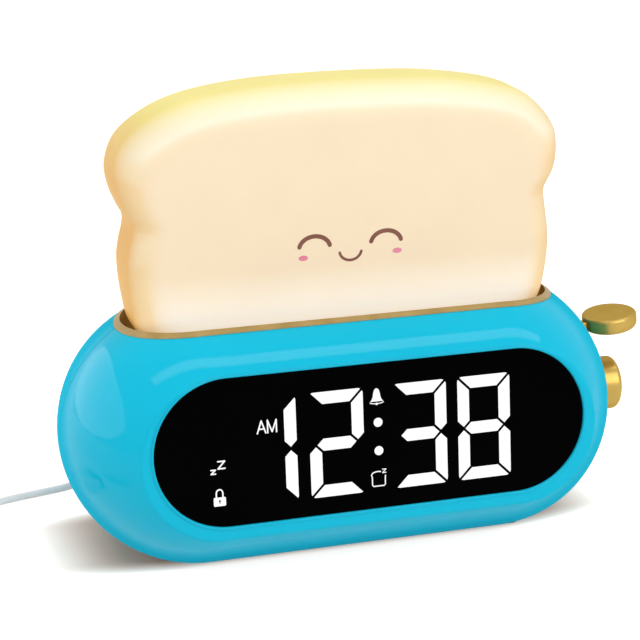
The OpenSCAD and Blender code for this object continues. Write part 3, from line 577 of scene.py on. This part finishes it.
def on_display(x, y, z):
    """Point on the display's window: x right, y up, z out of its front, in millimetres."""
    return FACE + (Vector((x, 0, 0)) + FACE_UP * y + FACE_OUT * (z - WINDOW_BACK)) * MM


def on_lit_mark(x, y, z):
    return on_display(x, y, z + LIT_T)


def on_toast(x, y, z):
    """Point on the toast's flat front: x right, y the height, z out of it, in millimetres."""
    return at(x, TOAST_Y - TOAST_T / 2 + PRINT_IN - z, y)


def lit_marks(name, outlines):
    marks(name, outlines, on_display, LIT_T, LIT)


def zed(x0, y0, x1, y1, width):
    """The three strokes of a letter Z between two corners."""
    return [stroke([(x0, y1), (x1, y1)], width), stroke([(x1, y1), (x0, y0)], width),
            stroke([(x0, y0), (x1, y0)], width)]


def add_icons():
    """Lit marks beside the digits: AM, snooze, lock, bell and night light."""
    am = [((-36.5, 4.8), (-35.2, 8.6)), ((-35.2, 8.6), (-33.9, 4.8)), ((-36.0, 6.1), (-34.4, 6.1)),
          ((-33.3, 4.8), (-33.3, 8.6)), ((-30.6, 4.8), (-30.6, 8.6)),
          ((-33.3, 8.6), (-31.95, 5.0)), ((-31.95, 5.0), (-30.6, 8.6))]
    lit_marks("am_mark", [stroke(line, 0.42) for line in am])

    lit_marks("snooze_mark", zed(-51.1, -5.95, -49.7, -4.75, 0.4)
              + zed(-48.9, -4.5, -46.8, -2.3, 0.44))

    body = []
    for x, y, turned in ((-47.35, -15.5, -90), (-47.35, -13.6, 0), (-50.25, -13.6, 90),
                         (-50.25, -15.5, 180)):
        body += arc(x, y, 0.4, 0.4, turned, turned + 90, 4)
    shackle = [(-49.8, -13.3)] + arc(-48.8, -12.0, 1.0, 1.15, 180, 0, 12) + [(-47.8, -13.3)]
    lit_marks("lock_mark", [body, stroke(shackle, 0.42)])
    keyhole = [arc(-48.8, -14.3, 0.32, 0.32, 0, 330, 11),
               [(-48.65, -14.4), (-48.65, -15.1), (-48.95, -15.1), (-48.95, -14.4)]]
    marks("lock_keyhole", keyhole, on_lit_mark, HOLE_T, LENS)

    cx = 0.85
    left = [(-0.25, 14.7), (-0.75, 14.2), (-1.05, 13.2), (-1.2, 12.2), (-1.55, 11.3), (-2.05, 10.7)]
    bell = [(cx + x, y) for x, y in left] + [(cx - x, y) for x, y in left[::-1]]
    rim = [(cx - 2.1, 10.45)] + arc(cx, 10.45, 2.1, 0.45, -165, -15, 10) + [(cx + 2.1, 10.45)]
    clapper = arc(cx, 9.95, 0.42, 0.36, 0, 330, 11)
    lit_marks("bell_mark", [bell, stroke(rim, 0.26), clapper])

    slice_side = [(-0.85, -15.6), (2.5, -15.6), (2.85, -15.2), (2.85, -13.4)]
    crown = [(1.4, -11.15), (0.6, -11.05), (-0.4, -11.15), (-1.2, -11.5), (-1.5, -12.1),
             (-1.25, -12.8), (-1.25, -15.2), (-0.85, -15.6)]
    slice_lines = [stroke(slice_side, 0.34), stroke(crown, 0.34)]
    end = stroke([(2.85, -13.4), (2.95, -12.5)], 0.34)
    lit_marks("night_light_mark", slice_lines + zed(2.05, -11.6, 3.15, -10.5, 0.26) + [end])


def add_face():
    """Plain smiling marks, printed on the front of the toast."""
    eyes = [stroke(arc(side * 11.4, 99.6, 4.9, 3.9, 168, 12, 18), 1.35) for side in (-1, 1)]
    smile = stroke(arc(0, 98.2, 3.5, 3.1, 190, 350, 16), 0.85)
    marks("face_lines", eyes + [smile], on_toast, PRINT_T, BROWN)
    cheeks = [arc(side * 15.0, 96.9, 1.5, 0.85, 0, 345, 23) for side in (-1, 1)]
    marks("face_cheeks", cheeks, on_toast, PRINT_T, PINK)


add_face()
add_icons()

# ---------------------------------------------------------------- stage
FLOOR_SIZE, FLOOR_PARTS = 6, 8  # metres from its middle to a side, and squares along a side
FLOOR_GLOSS = 0.7  # lit by the lamps as well, the floor is then as white in gloss as the world
# The floor's painted shadow: its tones run outwards from a rectangle under the clock, after
# the floor is stretched and then shifted. Its half size, and the way out from it to the last
# tone, are in metres
PATCH_STRETCH, PATCH_SHIFT = (0.68, 2.5, 1), (0.0056, -0.0375, 0)
PATCH_HALF, PATCH_FADE = (0.0348, 0.0375, 0), 0.12
# Glow that the camera and gloss see: low and warm near the clock, a painted shadow, white beyond
FLOOR_GLOW_AND_PAINTED_SHADOW = [(0.10, (0.05, 0.02, 0.01, 1)), (0.15, (0.19, 0.13, 0.11, 1)),
               (0.183, (0.30, 0.25, 0.22, 1)), (0.213, (0.42, 0.38, 0.35, 1)),
               (0.24, (0.62, 0.57, 0.53, 1)), (0.275, (0.82, 0.76, 0.72, 1)),
               (0.42, (0.80, 0.76, 0.72, 1)), (0.8, (0.58, 0.56, 0.55, 1))]
# Base colour: darker and warm near the clock, a painted shadow, and pale beyond
FLOOR_PAINTED_SHADOW = [(0.3, (0.58, 0.47, 0.39, 1)), (0.7, (0.61, 0.49, 0.41, 1))]
FLOOR_FAR = [(0.3, (0.88, 0.84, 0.80, 1)), (0.7, (0.90, 0.86, 0.82, 1))]
WORLD_LIGHT, WORLD_SEEN = 0.48, 1.0


def seen_rays(tree, gloss=1.0):
    """1 for the camera's rays, gloss for rays by way of gloss or glass, and 0 for the light's."""
    rays = tree.nodes.new("ShaderNodeLightPath").outputs
    bounced = maths(tree, "MAXIMUM", rays["Is Glossy Ray"], rays["Is Transmission Ray"])
    return maths(tree, "MAXIMUM", rays["Is Camera Ray"], maths(tree, "MULTIPLY", bounced, gloss))


def floor_material():
    """Darker and warm under and behind the clock, a painted shadow over its real one; white beyond.
    """
    s = Shader("floor")
    soft = s.noise(3)
    place = s.tree.nodes.new("ShaderNodeMapping")
    for name, source in (("Scale", PATCH_STRETCH), ("Location", PATCH_SHIFT),
                         ("Vector", s.coord.outputs["Object"])):
        feed(s.tree, source, place.inputs[name])
    away = place.outputs["Vector"]
    for kind, value in (("ABSOLUTE", None), ("SUBTRACT", PATCH_HALF), ("MAXIMUM", (0, 0, 0)),
                        ("LENGTH", None)):
        node = s.tree.nodes.new("ShaderNodeVectorMath")
        node.operation = kind
        feed(s.tree, away, node.inputs[0])
        if value:
            feed(s.tree, value, node.inputs[1])
        away = node.outputs["Value" if kind == "LENGTH" else "Vector"]
    reach = spread(s.tree, away, 0, 1, 0, PATCH_FADE)
    # Darker base colour and glow near the clock: a painted shadow
    s.put("Base Color", s.mix(s.fade(reach, 0.13, 0.25), s.ramp(soft, FLOOR_PAINTED_SHADOW),
                              s.ramp(soft, FLOOR_FAR)))
    s.put("Emission Color", s.ramp(reach, FLOOR_GLOW_AND_PAINTED_SHADOW))
    s.put("Emission Strength", seen_rays(s.tree, FLOOR_GLOSS))
    s.put("Roughness", 0.9)
    s.put("Specular IOR Level", 0.0)
    return s.mat


def add_floor():
    mesh = bpy.data.meshes.new("floor")
    bm = bmesh.new()
    bmesh.ops.create_grid(bm, x_segments=FLOOR_PARTS, y_segments=FLOOR_PARTS, size=FLOOR_SIZE)
    bm.to_mesh(mesh)
    bm.free()
    floor = bpy.data.objects.new("floor", mesh)
    bpy.context.scene.collection.objects.link(floor)
    mesh.materials.append(floor_material())


def add_world():
    """White to look at, and dimmer as a light."""
    world = bpy.data.worlds.new("world")
    bpy.context.scene.world = world
    world.use_nodes = True
    tree = world.node_tree
    shown = tree.nodes["Background"]
    feed(tree, grey(1), shown.inputs["Color"])
    feed(tree, spread(tree, seen_rays(tree), WORLD_LIGHT, WORLD_SEEN), shown.inputs["Strength"])


def add_lamp(name, place, size, watts, target=(0, 0, 0.06), shape="RECTANGLE"):
    """Area lamp that is turned to its target, in metres."""
    data = bpy.data.lights.new(name, "AREA")
    data.shape = shape
    data.size, data.size_y = size
    data.energy = watts
    lamp = bpy.data.objects.new(name, data)
    bpy.context.scene.collection.objects.link(lamp)
    lamp.location = place
    lamp.rotation_euler = (Vector(target) - Vector(place)).to_track_quat("-Z", "Y").to_euler()


add_floor()
add_world()
add_lamp("key", (0.5, -1.6, 1.1), (1.8, 1.4), 20.5)
# Narrow and overhead, mirrored along the housing
add_lamp("strip", (0.05, -0.07, 1.0), (1.6, 0.13), 2.5, (0.05, -0.07, 0))
# Behind the left end, mirrored there as a soft oval
add_lamp("left", (-0.58, 0.3, 0.21), (0.86, 0.42), 1.8, shape="ELLIPSE")

bpy.context.scene.view_settings.view_transform = "Standard"
